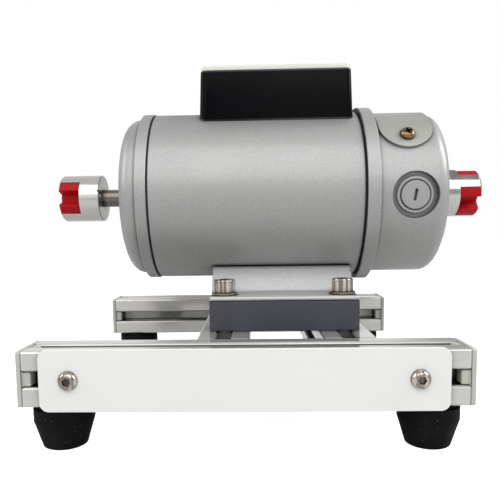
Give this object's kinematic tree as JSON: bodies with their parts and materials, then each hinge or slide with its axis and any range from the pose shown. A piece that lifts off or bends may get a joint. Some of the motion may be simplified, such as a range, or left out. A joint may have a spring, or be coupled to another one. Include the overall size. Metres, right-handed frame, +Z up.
{
  "type": "demonstration electric motor",
  "caption": "Series-wound DC teaching motor on a slotted aluminium bench frame with rubber feet, a terminal box, brush gear and jaw couplings on its shaft ends.",
  "frame": {"origin": "middle of the whole object's footprint on the table, at the rubber feet's soles", "axes": "+Z up; +X along the shaft towards the brush end; -Y faces the viewer of the front plate"},
  "size_m": [0.2872, 0.2402, 0.2226],
  "materials": {
    "anodised_profile": "satin anodised",
    "grey_caps": "moulded, satin",
    "cast_bracket": "die cast",
    "plated_screws": "nickel plated",
    "yellow_screws": "yellow zinc",
    "slot_nut_steel": "zinc plated",
    "white_plate": "satin",
    "black_rubber": "moulded",
    "grey_pvc": "sawn and milled sheet",
    "silver_paint": "silver-grey paint",
    "silver_casting": "silver-grey paint on a casting",
    "cover_paint": "paint, slightly greenish",
    "cap_grey": "moulded",
    "black_gasket": "matt",
    "ground_steel": "ground",
    "core_steel": "laminated",
    "copper": "enamelled copper",
    "brass": "plain",
    "carbon": "graphite",
    "spring_steel": "drawn",
    "box_black": "gloss",
    "lid_cream": "satin",
    "socket_red": "gloss",
    "socket_black": "gloss",
    "hub_aluminium": "turned",
    "spider_red": "moulded polyurethane"
  },
  "bodies": {
    "frame": {"front_rail": "anodised_profile", "rear_rail": "anodised_profile", "left_cross_rail": "anodised_profile", "right_cross_rail": "anodised_profile", "rail_end_caps": "grey_caps", "corner_brackets": "cast_bracket", "bracket_screws": "plated_screws", "rubber_foot_screws": "plated_screws", "rubber_foot_washers": "plated_screws", "foot_screws": "plated_screws", "foot_washers": "plated_screws", "plate_screws": "plated_screws", "lid_screws": "plated_screws", "box_screws": "plated_screws", "pole_screws": "plated_screws", "tie_bolts": "plated_screws", "cover_screws": "yellow_screws", "slot_nuts_m6": "slot_nut_steel", "slot_nuts_m8": "slot_nut_steel", "front_plate": "white_plate", "rubber_feet": "black_rubber", "riser_front": "grey_pvc", "riser_rear": "grey_pvc", "yoke": "silver_paint", "motor_foot_front": "silver_paint", "motor_foot_rear": "silver_paint", "drive_end_bell": "silver_casting", "commutator_end_bell": "silver_casting", "inspection_cover": "cover_paint", "brush_caps": "cap_grey", "bell_gaskets": "black_gasket", "bearing_outer_rings": "ground_steel", "pole_pieces": "core_steel", "field_coil_top": "copper", "field_coil_bottom": "copper", "brush_holders": "brass", "socket_contacts": "brass", "socket_nuts": "brass", "brush_spring_front": "spring_steel", "brush_spring_rear": "spring_steel", "terminal_box": "box_black", "terminal_lid": "lid_cream", "sockets_red": "socket_red", "sockets_black": "socket_black"},
    "rotor": {"shaft": "ground_steel", "shaft_keys": "ground_steel", "armature_core": "core_steel", "armature_winding": "copper", "commutator": "copper", "bearing_inner_rings": "ground_steel", "coupling_hub_drive_end": "hub_aluminium", "coupling_hub_brush_end": "hub_aluminium", "coupling_spider_drive_end": "spider_red", "coupling_spider_brush_end": "spider_red", "coupling_set_screws": "plated_screws"},
    "cage_drive_end": {"ball_cage_drive_end": "ground_steel"},
    "cage_brush_end": {"ball_cage_brush_end": "ground_steel"},
    "brush_front": {"brush_front": "carbon"},
    "brush_rear": {"brush_rear": "carbon"}
  },
  "joints": [
    {"name": "rotor_spin", "type": "hinge", "parent": "frame", "child": "rotor", "pos_m": [0.0081, 0.00165, 0.1385], "axis": [1, 0, 0], "continuous": true},
    {"name": "cage_drive_end_spin", "type": "hinge", "parent": "frame", "child": "cage_drive_end", "pos_m": [-0.0887, 0.00165, 0.1385], "axis": [1, 0, 0], "continuous": true},
    {"name": "cage_brush_end_spin", "type": "hinge", "parent": "frame", "child": "cage_brush_end", "pos_m": [0.1049, 0.00165, 0.1385], "axis": [1, 0, 0], "continuous": true},
    {"name": "brush_front_slide", "type": "slide", "parent": "frame", "child": "brush_front", "axis": [0, -0.9983, -0.0576], "range_m": [0, 0.003], "stiffness_N_per_m": 200, "springref_m": -0.009, "deforming": ["brush_spring_front"]},
    {"name": "brush_rear_slide", "type": "slide", "parent": "frame", "child": "brush_rear", "axis": [0, 0.9983, 0.0576], "range_m": [0, 0.003], "stiffness_N_per_m": 200, "springref_m": -0.009, "deforming": ["brush_spring_rear"]}
  ],
  "couplings": [
    {"joint": "cage_drive_end_spin", "follows": "rotor_spin", "ratio": 0.39872},
    {"joint": "cage_brush_end_spin", "follows": "rotor_spin", "ratio": 0.39872}
  ]
}
